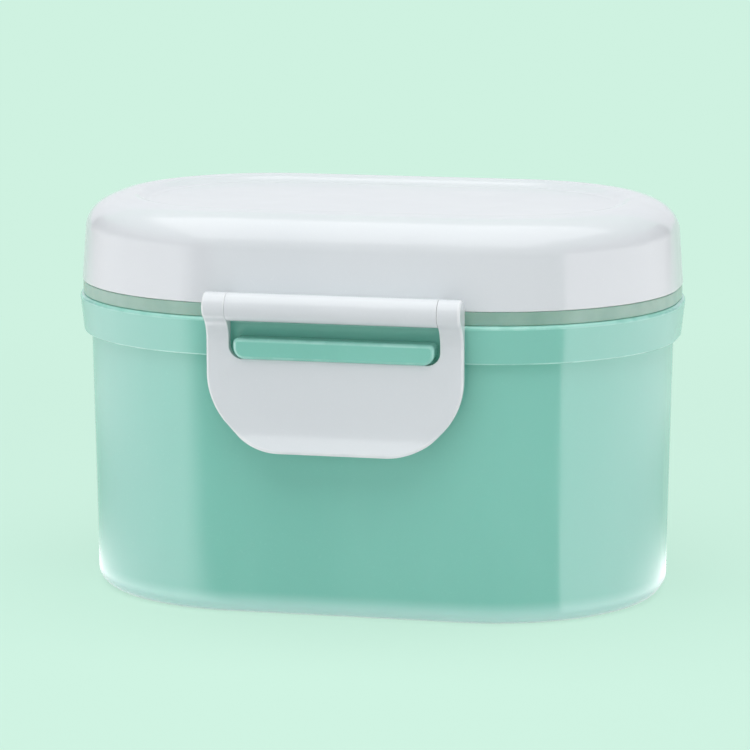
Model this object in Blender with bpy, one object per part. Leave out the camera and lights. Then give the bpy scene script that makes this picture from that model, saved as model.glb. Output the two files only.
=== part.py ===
# Formula dispenser: an oblong lidded box with a silicone seal, a front latch, a back hinge,
# a leveller across the mouth and a scoop clipped under the lid.
# Metres, +Z up, front towards -Y, origin on the table under the middle of the box.

import math

import bmesh
import bpy
from mathutils import Matrix, Vector

# Plan of the collar's top edge: straight front and back, and nearly half-round ends
COLLAR_LENGTH = 0.1450
COLLAR_DEPTH = 0.0942
END_FLAT = 0.0046
CORNER_STEPS = 14

# Container wall, floor and foot
BODY_HEIGHT = 0.06135
BODY_TAPER = 0.0011
WALL = 0.0022
FLOOR = 0.0022
FLOOR_RADIUS = 0.0040
FOOT_RADIUS = 0.0035
FOOT_RING = 0.0040
FOOT_RECESS = 0.0008

# Collar round the top of the container, and the neck that stands inside the lid
COLLAR_HEIGHT = 0.0090
COLLAR_FLARE = 0.0010
COLLAR_STEP = 0.0018
COLLAR_ROUND = 0.0009
EDGE_ROUND = 0.0004
NECK_HEIGHT = 0.0068
NECK_WALL = 0.0016
NECK_ROUND = 0.0005
NECK_CLEARANCE = 0.0007

# Seal ring that shows between collar and lid
SEAL_SHOWN = 0.0032
SEAL_INSET = 0.0012
SEAL_ROUND = 0.0003

# Lid: skirt, rounded shoulder, crest and shallow dish
LID_INSET = 0.0007
LID_DRAFT = 0.0009
LID_HEIGHT = 0.0203
LID_WALL = 0.0020
SHOULDER_WIDTH = 0.0108
SHOULDER_HEIGHT = 0.0081
DISH_DEPTH = 0.0016
DISH_RUN = 0.0040

# Latch pivot at the front and lid hinge at the back share one barrel size
KNUCKLE_RADIUS = 0.00325
AXIS_REACH = 0.0048
AXIS_RISE = 0.0003
PIN_RADIUS = 0.0010
PIN_CLEARANCE = 0.0001
BLIND_END = 0.0012
LUG_INNER = 0.0160
LUG_WIDTH = 0.0080

# Latch plate with its window, ears and turned-out lip
LATCH_WIDTH = 0.0599
EAR_WIDTH = 0.00535
PLATE = 0.0020
PLATE_DROP = 0.0334
LATCH_CORNER = 0.0160
LATCH_FILLET = 0.0040
LIP_HEIGHT = 0.0065
LIP_RADIUS = 0.0120
WINDOW_CORNER = 0.0030

# Keeper bar on the collar that the latch window drops over
KEEPER_RISE = 0.0006
KEEPER_HEIGHT = 0.0046
KEEPER_PROUD = 0.0013
KEEPER_SIDE_GAP = 0.0012
KEEPER_SHOULDER = 0.0012
KEEPER_ROUND = 0.0007

# Leveller bar let into the neck
LEVELLER_X = 0.0340
LEVELLER_WIDTH = 0.0120
LEVELLER_THICKNESS = 0.0018
LEVELLER_DROP = 0.0010
LEVELLER_LIP = 0.0030
LEVELLER_LIP_WALL = 0.0016
POCKET_DEPTH = 0.0009

# Scoop and the two clips under the lid that hold its handle
BOWL_X = -0.0440
BOWL_RADIUS = 0.0140
BOWL_HEIGHT = 0.0160
BOWL_TAPER = 0.0022
BOWL_WALL = 0.0012
BOWL_ROUND = 0.0020
BOWL_SIDES = 36
HANDLE_REACH = 0.0730
HANDLE_WIDTH = 0.0090
HANDLE_THICKNESS = 0.0022
HANDLE_GROOVE = 0.0007
HANDLE_BORDER = 0.0016
CLIP_BASE = 0.0027
CLIP_WALL = 0.0014
CLIP_LENGTH = 0.0070
CLIP_GRIP = 0.0004
CLIP_PLACES = (0.0, 0.0200)

# Gap left where two pieces touch, and how far a fused form reaches into what carries it
SEAT_GAP = 0.0003
BITE = 0.0008

# Heights worked out from the sizes above
FLOOR_Z = FOOT_RECESS + FLOOR
LEDGE_Z = BODY_HEIGHT + COLLAR_HEIGHT
RIM_Z = LEDGE_Z + NECK_HEIGHT
LID_Z = LEDGE_Z + SEAL_SHOWN
CREST_Z = LID_Z + LID_HEIGHT
CEILING_Z = CREST_Z - DISH_DEPTH - LID_WALL
AXIS_Z = LID_Z + AXIS_RISE
AXIS_Y = COLLAR_DEPTH / 2 + AXIS_REACH
KEEPER_Z = BODY_HEIGHT + KEEPER_RISE
LEVELLER_Z = RIM_Z - LEVELLER_DROP - LEVELLER_THICKNESS
SCOOP_Z = CEILING_Z - CLIP_BASE - SEAT_GAP

# Insets of each wall from the collar's top edge, negative towards the middle
BODY_TOP = -COLLAR_FLARE - COLLAR_STEP
BODY_FOOT = BODY_TOP - BODY_TAPER
NECK_OUTER = -LID_INSET - LID_WALL - NECK_CLEARANCE
NECK_INNER = NECK_OUTER - NECK_WALL
CAVITY_FOOT = BODY_FOOT - WALL
LID_CREST = -LID_INSET - LID_DRAFT - SHOULDER_WIDTH

# Half widths along X at the latch and the hinge
EAR_INNER = LATCH_WIDTH / 2 - EAR_WIDTH
BARREL_HALF = EAR_INNER - SEAT_GAP
KNUCKLE_HALF = LUG_INNER - SEAT_GAP
PLATE_BACK = -AXIS_Y + KNUCKLE_RADIUS
PLATE_FRONT = PLATE_BACK - PLATE

# Colours, roughness and metallic value of the materials
MINT = ((0.330, 0.640, 0.545), 0.22, 0.0)
WHITE = ((0.800, 0.815, 0.825), 0.20, 0.0)
SILICONE = ((0.400, 0.560, 0.490), 0.45, 0.0)
STEEL = ((0.560, 0.570, 0.580), 0.25, 1.0)


def clear_scene():
    for item in list(bpy.data.objects):
        bpy.data.objects.remove(item, do_unlink=True)


def material(name, look):
    color, roughness, metallic = look
    made = bpy.data.materials.new(name)
    made.use_nodes = True
    shader = made.node_tree.nodes["Principled BSDF"]
    shader.inputs["Base Color"].default_value = (*color, 1.0)
    shader.inputs["Roughness"].default_value = roughness
    shader.inputs["Metallic"].default_value = metallic
    return made


def arc(center, radii, start, stop, steps):
    # points on an ellipse about center, from one angle to another in degrees
    points = []
    for step in range(steps + 1):
        angle = math.radians(start + (stop - start) * step / steps)
        points.append((center[0] + radii[0] * math.cos(angle), center[1] + radii[1] * math.sin(angle)))
    return points


def plan(inset):
    # the box's outline grown by inset, as four corner arcs joined by straight sides
    half_x = COLLAR_LENGTH / 2 + inset
    half_y = COLLAR_DEPTH / 2 + inset
    radius = half_y - END_FLAT / 2
    points = []
    for quarter, (side_x, side_y) in enumerate(((1, 1), (-1, 1), (-1, -1), (1, -1))):
        center = (side_x * (half_x - radius), side_y * END_FLAT / 2)
        points += arc(center, (radius, radius), quarter * 90, quarter * 90 + 90, CORNER_STEPS)
    return points


def plan_half_depth(x, inset):
    # half the outline's depth at a distance x from the middle
    half_y = COLLAR_DEPTH / 2 + inset
    radius = half_y - END_FLAT / 2
    past = max(0.0, abs(x) - (COLLAR_LENGTH / 2 + inset - radius))
    return END_FLAT / 2 + math.sqrt(radius * radius - past * past)


def loft(rings, closed=False):
    # skin over a stack of rings with equal point counts, capped at both ends unless it closes on itself
    bm = bmesh.new()
    made = [[bm.verts.new(point) for point in ring] for ring in rings]
    pairs = list(zip(made, made[1:]))
    if closed:
        pairs.append((made[-1], made[0]))
    else:
        bm.faces.new(made[0])
        bm.faces.new(made[-1])
    for low, high in pairs:
        for i in range(len(low)):
            j = (i + 1) % len(low)
            bm.faces.new((low[i], low[j], high[j], high[i]))
    bmesh.ops.recalc_face_normals(bm, faces=bm.faces[:])
    return bm


def loft_profile(profile, closed=False):
    # a wall section of (inset, height) points carried round the box's plan
    return loft([[(x, y, z) for x, y in plan(inset)] for inset, z in profile], closed)


def prism(points, axis, low, high):
    # a flat outline in the two other axes, drawn out along one axis
    def ring(along):
        made = []
        for point in points:
            corner = list(point)
            corner.insert(axis, along)
            made.append(corner)
        return made

    return loft([ring(low), ring(high)])


def rod(center_y, center_z, radius, low, high, sides=24):
    return prism(arc((center_y, center_z), (radius, radius), 0, 360 - 360 / sides, sides - 1), 0, low, high)


def add(name, bm, finish=None, origin=(0.0, 0.0, 0.0)):
    # an object whose shape is given in world coordinates and whose origin lies where asked
    mesh = bpy.data.meshes.new(name)
    bm.to_mesh(mesh)
    bm.free()
    mesh.transform(Matrix.Translation(-Vector(origin)))
    mesh.shade_smooth()
    mesh.set_sharp_from_angle(angle=math.radians(32))
    item = bpy.data.objects.new(name, mesh)
    item.location = origin
    bpy.context.scene.collection.objects.link(item)
    if finish:
        mesh.materials.append(material(name, finish))
    return item


def attach(child, parent):
    # child follows parent and stays where it is
    child.parent = parent
    child.matrix_parent_inverse = Matrix.Translation(-parent.location)


def combine(target, name, bm, operation):
    # joins a shape to the target, or cuts or keeps it, with a tool that isn't part of the product
    tool = add(name, bm)
    tool.hide_render = True
    tool.display_type = "WIRE"
    attach(tool, target)
    step = target.modifiers.new(name, "BOOLEAN")
    step.operation = operation
    step.solver = "EXACT"
    step.object = tool


def axis_empty(name, location):
    empty = bpy.data.objects.new(name, None)
    empty.location = location
    bpy.context.scene.collection.objects.link(empty)
    return empty


def container_profile():
    foot = BODY_FOOT - FOOT_RADIUS
    return [
        (foot - FOOT_RING - FOOT_RECESS, FOOT_RECESS),
        (foot - FOOT_RING, 0.0),
        *arc((foot, FOOT_RADIUS), (FOOT_RADIUS, FOOT_RADIUS), -90, 0, 5),
        (BODY_TOP, BODY_HEIGHT),
        *arc((-COLLAR_FLARE - EDGE_ROUND, BODY_HEIGHT + EDGE_ROUND), (EDGE_ROUND, EDGE_ROUND), -90, 0, 2),
        *arc((-COLLAR_ROUND, LEDGE_Z - COLLAR_ROUND), (COLLAR_ROUND, COLLAR_ROUND), 0, 90, 3),
        (NECK_OUTER, LEDGE_Z),
        *arc((NECK_OUTER - NECK_ROUND, RIM_Z - NECK_ROUND), (NECK_ROUND, NECK_ROUND), 0, 90, 2),
        *arc((NECK_INNER + NECK_ROUND, RIM_Z - NECK_ROUND), (NECK_ROUND, NECK_ROUND), 90, 180, 2),
        *arc((CAVITY_FOOT - FLOOR_RADIUS, FLOOR_Z + FLOOR_RADIUS), (FLOOR_RADIUS, FLOOR_RADIUS), 0, -90, 5),
    ]


def keeper():
    # bar with rounded ends and a rounded front edge, rooted in the collar
    half = EAR_INNER - KEEPER_SIDE_GAP
    top = KEEPER_Z + KEEPER_HEIGHT
    front = PLATE_FRONT - KEEPER_PROUD
    root = -COLLAR_DEPTH / 2 + COLLAR_FLARE + BITE
    corner = WINDOW_CORNER - SEAT_GAP
    shoulder = (KEEPER_SHOULDER, KEEPER_SHOULDER)
    outline = [
        *arc((half - KEEPER_SHOULDER, top - KEEPER_SHOULDER), shoulder, 90, 0, 4),
        *arc((half - corner, KEEPER_Z + corner), (corner, corner), 0, -90, 5),
        *arc((corner - half, KEEPER_Z + corner), (corner, corner), -90, -180, 5),
        *arc((KEEPER_SHOULDER - half, top - KEEPER_SHOULDER), shoulder, -180, -270, 4),
    ]
    bm = prism(outline, 1, front, root)
    shown = [edge for edge in bm.edges if all(abs(vert.co.y - front) < BITE / 10 for vert in edge.verts)]
    bmesh.ops.bevel(bm, geom=shown, offset=KEEPER_ROUND, segments=3, profile=0.5, affect="EDGES")
    return bm


def hinge_lug(side):
    # arm from the collar's back up to the hinge barrel
    root = COLLAR_DEPTH / 2 - COLLAR_FLARE - BITE
    low = BODY_HEIGHT + EDGE_ROUND
    high = LEDGE_Z - COLLAR_ROUND
    across = math.hypot(AXIS_Y - root, AXIS_Z - low)
    tangent = math.degrees(math.atan2(low - AXIS_Z, root - AXIS_Y) + math.acos(KNUCKLE_RADIUS / across))
    barrel = arc((AXIS_Y, AXIS_Z), (KNUCKLE_RADIUS, KNUCKLE_RADIUS), tangent, 180, 14)
    outline = [(root, low), *barrel, (AXIS_Y - KNUCKLE_RADIUS, high), (root, high)]
    ends = sorted((side * LUG_INNER, side * (LUG_INNER + LUG_WIDTH)))
    return prism(outline, 0, *ends)


def mouth_strip(low_x, high_x, inset, low_z, high_z):
    # slab across the mouth whose two ends follow the box's outline
    steps = 6
    xs = [low_x + (high_x - low_x) * step / steps for step in range(steps + 1)]
    front = [(x, -plan_half_depth(x, inset)) for x in xs]
    back = [(x, plan_half_depth(x, inset)) for x in reversed(xs)]
    return prism(front + back, 2, low_z, high_z)


def make_container():
    body = add("container_body", loft_profile(container_profile()), MINT)
    combine(body, "keeper_form", keeper(), "UNION")
    hole = PIN_RADIUS + PIN_CLEARANCE
    reach = LUG_INNER + LUG_WIDTH - BLIND_END
    for side, name in ((-1, "left"), (1, "right")):
        combine(body, "lug_form_" + name, hinge_lug(side), "UNION")
    combine(body, "hinge_pin_hole", rod(AXIS_Y, AXIS_Z, hole, -reach, reach), "DIFFERENCE")
    pocket = mouth_strip(
        LEVELLER_X - SEAT_GAP,
        LEVELLER_X + LEVELLER_WIDTH + SEAT_GAP,
        NECK_INNER + POCKET_DEPTH,
        LEVELLER_Z - SEAT_GAP,
        RIM_Z + SEAT_GAP,
    )
    combine(body, "leveller_pockets", pocket, "DIFFERENCE")
    return body


def make_seal():
    outer = -SEAL_INSET
    inner = NECK_OUTER + SEAT_GAP
    low = LEDGE_Z + SEAT_GAP
    high = LID_Z - SEAT_GAP
    rounding = (SEAL_ROUND, SEAL_ROUND)
    profile = [
        (inner, low),
        *arc((outer - SEAL_ROUND, low + SEAL_ROUND), rounding, -90, 0, 2),
        *arc((outer - SEAL_ROUND, high - SEAL_ROUND), rounding, 0, 90, 2),
        (inner, high),
    ]
    return add("seal_ring", loft_profile(profile, closed=True), SILICONE)


def dish(crest_z, floor_z, steps=4):
    # smooth fall from the crest to the dish's flat floor
    points = []
    for step in range(1, steps + 1):
        share = step / steps
        fall = (1 - math.cos(math.pi * share)) / 2
        points.append((LID_CREST - DISH_RUN * share, crest_z + (floor_z - crest_z) * fall))
    return points


def lid_profile():
    shoulder_z = CREST_Z - SHOULDER_HEIGHT
    inside = dish(CREST_Z - LID_WALL, CEILING_Z)[::-1]
    inner = (SHOULDER_WIDTH - LID_WALL, SHOULDER_HEIGHT - LID_WALL)
    return [
        *inside,
        *arc((LID_CREST, shoulder_z), inner, 90, 0, 6),
        (-LID_INSET - LID_WALL, LID_Z),
        *arc((-LID_INSET - EDGE_ROUND, LID_Z + EDGE_ROUND), (EDGE_ROUND, EDGE_ROUND), -90, 0, 2),
        *arc((LID_CREST, shoulder_z), (SHOULDER_WIDTH, SHOULDER_HEIGHT), 0, 90, 9),
        *dish(CREST_Z, CREST_Z - DISH_DEPTH),
    ]


def lid_barrel(side, half):
    # round barrel with a web back to the skirt, at the front for side -1 and at the back for side 1
    root = COLLAR_DEPTH / 2 - LID_INSET - BITE
    web_z = LID_Z + EDGE_ROUND
    lowest = math.degrees(math.asin((web_z - AXIS_Z) / KNUCKLE_RADIUS))
    half_round = arc((AXIS_Y, AXIS_Z), (KNUCKLE_RADIUS, KNUCKLE_RADIUS), 90, -180 - lowest, 18)
    outline = [(root, AXIS_Z + KNUCKLE_RADIUS), *half_round, (root, web_z)]
    return prism([(side * y, z) for y, z in outline], 0, -half, half)


def scoop_clip(middle):
    # channel open downwards that grips the scoop's handle
    inner = HANDLE_WIDTH / 2 + SEAT_GAP
    outer = inner + CLIP_WALL
    low = SCOOP_Z - HANDLE_THICKNESS - CLIP_GRIP
    base = CEILING_Z - CLIP_BASE
    root = CEILING_Z + BITE
    outline = [
        (-outer, low), (-inner, low), (-inner, base), (inner, base),
        (inner, low), (outer, low), (outer, root), (-outer, root),
    ]
    return prism(outline, 0, middle - CLIP_LENGTH / 2, middle + CLIP_LENGTH / 2)


def make_lid():
    lid = add("lid", loft_profile(lid_profile()), WHITE, origin=(0.0, AXIS_Y, AXIS_Z))
    combine(lid, "barrel_form", lid_barrel(-1, BARREL_HALF), "UNION")
    combine(lid, "knuckle_form", lid_barrel(1, KNUCKLE_HALF), "UNION")
    for number, middle in enumerate(CLIP_PLACES, start=1):
        combine(lid, f"clip_form_{number}", scoop_clip(middle), "UNION")
    hole = PIN_RADIUS + PIN_CLEARANCE
    for side, half, name in ((-1, BARREL_HALF, "barrel"), (1, KNUCKLE_HALF, "knuckle")):
        through = half + BITE
        combine(lid, name + "_bore", rod(side * AXIS_Y, AXIS_Z, hole, -through, through), "DIFFERENCE")
    return lid


def latch_section():
    # side view: knuckle round the axis, plate below its back, and a lip that turns out at the foot
    axis_y = -AXIS_Y
    foot_z = AXIS_Z - PLATE_DROP
    lip_z = foot_z + LIP_HEIGHT
    fillet_y = PLATE_FRONT - LATCH_FILLET
    fillet_z = AXIS_Z - math.sqrt((KNUCKLE_RADIUS + LATCH_FILLET) ** 2 - (fillet_y - axis_y) ** 2)
    meet = math.degrees(math.atan2(fillet_z - AXIS_Z, fillet_y - axis_y)) + 360
    past_foot = math.degrees(math.asin(LIP_HEIGHT / LIP_RADIUS)) + 6
    lip_center = (PLATE_FRONT - LIP_RADIUS, lip_z)
    back_radius = LIP_RADIUS + PLATE
    return [
        *arc((axis_y, AXIS_Z), (KNUCKLE_RADIUS, KNUCKLE_RADIUS), 0, meet, 22),
        *arc((fillet_y, fillet_z), (LATCH_FILLET, LATCH_FILLET), meet - 180, 0, 4)[1:],
        *arc(lip_center, (LIP_RADIUS, LIP_RADIUS), 0, -past_foot, 6),
        *arc(lip_center, (back_radius, back_radius), -past_foot, 0, 6),
    ]


def rounded_foot(half, foot, top, radius):
    # front view: straight sides, a straight foot and two round lower corners
    return [
        (half, top),
        *arc((half - radius, foot + radius), (radius, radius), 0, -90, 10),
        *arc((radius - half, foot + radius), (radius, radius), -90, -180, 10),
        (-half, top),
    ]


def make_latch():
    half = LATCH_WIDTH / 2
    foot = AXIS_Z - PLATE_DROP
    over = AXIS_Z + KNUCKLE_RADIUS + BITE
    before = -AXIS_Y - KNUCKLE_RADIUS - BITE
    behind = PLATE_BACK + BITE
    section = prism(latch_section(), 0, -half - BITE, half + BITE)
    latch = add("front_latch", section, WHITE, origin=(0.0, -AXIS_Y, AXIS_Z))
    plate = prism(rounded_foot(half, foot, over, LATCH_CORNER), 1, before, behind)
    combine(latch, "plate_outline", plate, "INTERSECT")
    window = rounded_foot(EAR_INNER, KEEPER_Z - SEAT_GAP, over + BITE, WINDOW_CORNER)
    combine(latch, "latch_window", prism(window, 1, before - BITE, behind + BITE), "DIFFERENCE")
    reach = half - BLIND_END
    hole = PIN_RADIUS + PIN_CLEARANCE
    combine(latch, "latch_pin_holes", rod(-AXIS_Y, AXIS_Z, hole, -reach, reach), "DIFFERENCE")
    return latch


def make_pin(name, side, reach):
    half = reach - BLIND_END - SEAT_GAP
    return add(name, rod(side * AXIS_Y, AXIS_Z, PIN_RADIUS, -half, half), STEEL)


def make_leveller():
    end = NECK_INNER + POCKET_DEPTH - SEAT_GAP
    top = LEVELLER_Z + LEVELLER_THICKNESS
    bar = mouth_strip(LEVELLER_X, LEVELLER_X + LEVELLER_WIDTH, end, LEVELLER_Z, top)
    leveller = add("leveller", bar, WHITE)
    lip = mouth_strip(
        LEVELLER_X,
        LEVELLER_X + LEVELLER_LIP_WALL,
        NECK_INNER - BITE - BODY_TAPER,
        LEVELLER_Z - LEVELLER_LIP,
        top - LEVELLER_THICKNESS / 2,
    )
    combine(leveller, "leveller_lip", lip, "UNION")
    return leveller


def bowl_ring(radius, z):
    turn = 360 / BOWL_SIDES
    return [(x, y, z) for x, y in arc((BOWL_X, 0.0), (radius, radius), 0, 360 - turn, BOWL_SIDES - 1)]


def make_scoop():
    foot_z = SCOOP_Z - BOWL_HEIGHT
    foot = BOWL_RADIUS - BOWL_TAPER
    rounding = (BOWL_ROUND, BOWL_ROUND)
    section = [
        *arc((foot - BOWL_ROUND, foot_z + BOWL_ROUND), rounding, -90, 0, 3),
        (BOWL_RADIUS, SCOOP_Z),
        (BOWL_RADIUS - BOWL_WALL, SCOOP_Z),
        *arc((foot - BOWL_WALL - BOWL_ROUND, foot_z + BOWL_WALL + BOWL_ROUND), rounding, 0, -90, 3),
    ]
    bowl = loft([bowl_ring(radius, z) for radius, z in section])
    scoop = add("scoop", bowl, WHITE, origin=(BOWL_X, 0.0, SCOOP_Z))
    half = HANDLE_WIDTH / 2
    root = BOWL_X + math.sqrt(BOWL_RADIUS ** 2 - half ** 2) - BOWL_WALL / 4
    tip = BOWL_X + HANDLE_REACH
    low = SCOOP_Z - HANDLE_THICKNESS
    rounded = [(root, -half), *arc((tip - half, 0.0), (half, half), -90, 90, 10), (root, half)]
    combine(scoop, "handle_form", prism(rounded, 2, low, SCOOP_Z), "UNION")
    inner = half - HANDLE_BORDER
    start = BOWL_X + BOWL_RADIUS + HANDLE_BORDER + inner
    groove = [
        *arc((start, 0.0), (inner, inner), 90, 270, 8),
        *arc((tip - half, 0.0), (inner, inner), -90, 90, 8),
    ]
    combine(scoop, "handle_groove", prism(groove, 2, SCOOP_Z - HANDLE_GROOVE, SCOOP_Z + BITE), "DIFFERENCE")
    return scoop


def main():
    clear_scene()
    body = make_container()
    lid_axis = axis_empty("lid_hinge_axis", (0.0, AXIS_Y, AXIS_Z))
    latch_axis = axis_empty("latch_pivot_axis", (0.0, -AXIS_Y, AXIS_Z))
    lid = make_lid()
    latch = make_latch()
    scoop = make_scoop()
    latch_pin = make_pin("latch_pin", -1, LATCH_WIDTH / 2)
    hinge_pin = make_pin("hinge_pin", 1, LUG_INNER + LUG_WIDTH)
    for piece in (make_seal(), make_leveller(), hinge_pin, lid_axis):
        attach(piece, body)
    attach(lid, lid_axis)
    for piece in (latch_pin, latch_axis, scoop):
        attach(piece, lid)
    attach(latch, latch_axis)


main()
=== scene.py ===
# Formula dispenser: finished surfaces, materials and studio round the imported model.
# Shapes are worked out in millimetres and become metres when a mesh is made.

import math

import bmesh
import bpy
import numpy as np
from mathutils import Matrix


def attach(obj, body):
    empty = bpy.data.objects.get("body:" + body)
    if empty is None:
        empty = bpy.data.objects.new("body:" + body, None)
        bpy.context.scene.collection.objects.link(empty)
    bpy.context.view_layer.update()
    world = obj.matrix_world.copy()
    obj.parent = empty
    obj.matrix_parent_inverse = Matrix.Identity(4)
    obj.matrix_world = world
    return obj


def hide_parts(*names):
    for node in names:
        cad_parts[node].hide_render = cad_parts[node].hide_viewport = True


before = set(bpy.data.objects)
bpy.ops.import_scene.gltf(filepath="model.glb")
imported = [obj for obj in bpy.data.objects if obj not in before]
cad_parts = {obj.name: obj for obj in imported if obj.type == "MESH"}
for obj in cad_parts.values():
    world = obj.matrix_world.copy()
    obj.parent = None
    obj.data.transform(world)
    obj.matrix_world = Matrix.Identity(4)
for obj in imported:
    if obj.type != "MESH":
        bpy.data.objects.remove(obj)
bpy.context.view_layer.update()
mm = 0.001
print("frame:", ", ".join(sorted(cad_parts)))


class Wire:
    # one shader output, so that sums on values read as plain Python

    def __init__(self, tree, socket):
        self.tree = tree
        self.socket = socket

    def add(self, kind, settings=None, inputs=None, output=0):
        made = self.tree.nodes.new(kind)
        for name, value in (settings or {}).items():
            setattr(made, name, value)
        for name, value in (inputs or {}).items():
            if isinstance(value, Wire):
                self.tree.links.new(value.socket, made.inputs[name])
            else:
                made.inputs[name].default_value = value
        return Wire(self.tree, made.outputs[output])

    def calc(self, operation, first, second=0.0):
        return self.add("ShaderNodeMath", {"operation": operation}, {0: first, 1: second})

    def __add__(self, other):
        return self.calc("ADD", self, other)

    def __radd__(self, other):
        return self.calc("ADD", other, self)

    def __sub__(self, other):
        return self.calc("SUBTRACT", self, other)

    def __rsub__(self, other):
        return self.calc("SUBTRACT", other, self)

    def __mul__(self, other):
        return self.calc("MULTIPLY", self, other)

    def __rmul__(self, other):
        return self.calc("MULTIPLY", other, self)

    def ramp(self, low, high):
        # 0 below low, 1 above high, smooth between
        settings = {"interpolation_type": "SMOOTHSTEP", "clamp": True}
        inputs = {"Value": self, "From Min": low, "From Max": high}
        return self.add("ShaderNodeMapRange", settings, inputs)

    def blend(self, first, second):
        # this value as the share of the second colour
        return self.add("ShaderNodeMix", {"data_type": "RGBA"}, {0: self, 6: first, 7: second}, 2)

    def noise(self, scale, detail=2.0, stretch=(1.0, 1.0, 1.0), reach=None):
        # this vector through a noise of so many waves to the metre, ramped where a reach is given
        place = self.add("ShaderNodeMapping", {}, {"Vector": self, "Scale": stretch})
        inputs = {"Vector": place, "Scale": scale, "Detail": detail}
        made = place.add("ShaderNodeTexNoise", {}, inputs)
        return made.ramp(*reach) if reach else made

    def part(self, axis):
        # one of this vector's three numbers
        return self.add("ShaderNodeSeparateXYZ", {}, {0: self}, axis)

    def bump(self, distance):
        # this height as a bump of so many metres
        inputs = {"Strength": 1.0, "Distance": distance, "Height": self}
        return self.add("ShaderNodeBump", {}, inputs)


def newMaterial(name):
    made = bpy.data.materials.new(name)
    made.use_nodes = True
    tree = made.node_tree
    shader = tree.nodes["Principled BSDF"]
    coords = tree.nodes.new("ShaderNodeTexCoord")
    return made, tree, shader, Wire(tree, coords.outputs["Object"])


def feed(tree, shader, name, wire):
    tree.links.new(wire.socket, shader.inputs[name])


def setValues(shader, values):
    for name, value in values.items():
        shader.inputs[name].default_value = value


# plan of the box: quarter turns about four centres, joined by straight sides
planSize = {
    "halfRun": 27.7,
    "halfFlat": 2.3,
    "radius": 44.8,
    "turnSteps": 40,
    "runSteps": 36,
    "flatSteps": 4,
}


def planReach(place):
    # distance from the core that the walls stand round: the root of the squares of what x and y have past it
    past = []
    for axis, half in enumerate((planSize["halfRun"], planSize["halfFlat"])):
        along = place.part(axis)
        past.append(along.calc("MAXIMUM", along.calc("ABSOLUTE", along) - half * mm))
    run, flat = past
    return run.calc("SQRT", run * run + flat * flat)


# moulded gloss: a slow drift of tone from the melt's flow, a fine speckle of pigment, faint handling marks
# in the gloss and the skin's slight orange peel
mintLook = {
    "name": "mintMoulding",
    "tones": ((0.226, 0.602, 0.498, 1.0), (0.248, 0.630, 0.524, 1.0)),
    # painted highlight: the paler tone that sharp outward edges turn to
    "speck": (0.280, 0.660, 0.556, 1.0),
    # painted reflection of the bright floor: the paler tone of the foot and sole
    "edgeHighlightTone": (0.430, 0.780, 0.690, 1.0),
    "foot": (0.570, 0.910, 0.830, 1.0),
    "drift": 26.0,
    "gloss": (0.10, 0.15),
    "hairs": 0.05,
    "peel": 0.0000012,
    "values": {"IOR": 1.57, "Subsurface Weight": 0.12, "Subsurface Scale": 0.002},
    "scatter": (0.30, 1.0, 0.75),
}
whiteLook = {
    "name": "whiteMoulding",
    "tones": ((0.752, 0.780, 0.806, 1.0), (0.770, 0.796, 0.820, 1.0)),
    "speck": (0.822, 0.842, 0.860, 1.0),
    # painted highlight: the paler tone that sharp outward edges turn to
    "edgeHighlightTone": (0.860, 0.878, 0.892, 1.0),
    # painted reflection of the bright floor: the paler tone of the foot and sole
    "foot": (0.860, 0.878, 0.892, 1.0),
    "drift": 22.0,
    "gloss": (0.10, 0.15),
    "hairs": 0.02,
    "peel": 0.0000003,
    "values": {"IOR": 1.44, "Subsurface Weight": 0.10, "Subsurface Scale": 0.0015},
    "scatter": (1.0, 1.0, 0.95),
}


# marks on both mouldings, each a noise and the reach of its ramp
mouldMarks = {
    "flow": {"detail": 3.0, "stretch": (1.0, 1.0, 0.35), "reach": (0.35, 0.65)},
    "grain": {"scale": 1900.0, "detail": 1.0, "reach": (0.62, 0.80)},
    "patches": {"scale": 90.0},
    "edgeHighlightPatches": {"scale": 240.0, "detail": 3.0, "reach": (0.38, 0.60)},
    "handling": {"scale": 75.0, "detail": 4.0, "reach": (0.30, 0.75)},
    "hairlines": {"scale": 1500.0, "stretch": (0.05, 1.0, 1.0), "reach": (0.66, 0.74)},
    "peel": {"scale": 520.0},
}
# wear and painted light: paler edges are a painted highlight and a paler foot a painted reflection of the
# bright floor, while both also turn rougher; the edge's turn to the millimetre, distances in metres, and the
# least share left between patches
mouldWearAndPaintedLight = {
    "grainShare": 0.35,
    "edgeHighlightReach": (0.4, 1.5),
    "outsideReach": (0.0388, 0.0398),
    "soleGlowReach": (0.0008, 0.0025),
    "footGlowReach": (0.0010, 0.0060),
    "footGlowLeast": 0.86,
    "edgeHighlightLeast": 0.45,
    "roughness": 0.06,
}


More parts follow.
